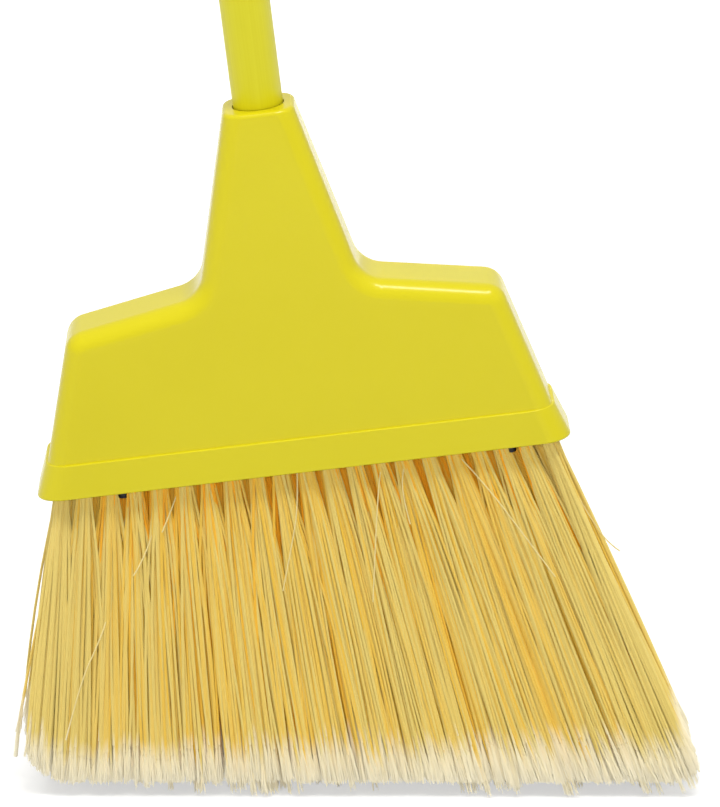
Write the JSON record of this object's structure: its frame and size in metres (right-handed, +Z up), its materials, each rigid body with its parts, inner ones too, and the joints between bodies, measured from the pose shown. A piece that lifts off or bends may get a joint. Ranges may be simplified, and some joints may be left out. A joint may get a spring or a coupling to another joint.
{
  "type": "upright broom",
  "caption": "Upright broom: a hollow moulded head with a flared skirt carries a slant-cut fan of flagged bristle tufts, and a slim tubular handle screws into its neck.",
  "frame": {"origin": "on the floor, under the middle of the whole broom as it stands", "axes": "+Z up, -Y the broom's front, +X to the right seen from the front; the handle leans towards -X"},
  "size_m": [0.3817, 0.0644, 1.5468],
  "materials": {
    "head_plastic": "satin moulded",
    "handle_skin": "satin",
    "bristle": "matte filament",
    "anchor_wire": "bright",
    "black_screw": "black oxide",
    "steel_tube": "plain",
    "inner_plastic": "moulded"
  },
  "bodies": {
    "head": {"head_shell": "head_plastic", "tuft_block": "head_plastic", "front_tuft_row": "bristle", "second_tuft_row": "bristle", "third_tuft_row": "bristle", "back_tuft_row": "bristle", "tuft_anchors": "anchor_wire", "block_screws": "black_screw"},
    "hanger": {"hang_cap": "head_plastic"},
    "handle": {"handle_core": "steel_tube", "handle_sleeve": "handle_skin", "thread_tip": "inner_plastic", "tip_pin": "anchor_wire", "cap_bush": "inner_plastic"}
  },
  "joints": [
    {"name": "handle_rise", "type": "slide", "parent": "head", "child": "hanger", "axis": [-0.1288, 0, 0.9917], "range_m": [0, 0.03175]},
    {"name": "handle_turn", "type": "hinge", "parent": "hanger", "child": "handle", "pos_m": [-0.01942, 0, 0.30107], "axis": [-0.1288, 0, 0.9917], "range_deg": [0, 2250]}
  ],
  "couplings": [
    {"joint": "handle_turn", "follows": "handle_rise", "rad_per_m": 1236.8}
  ]
}
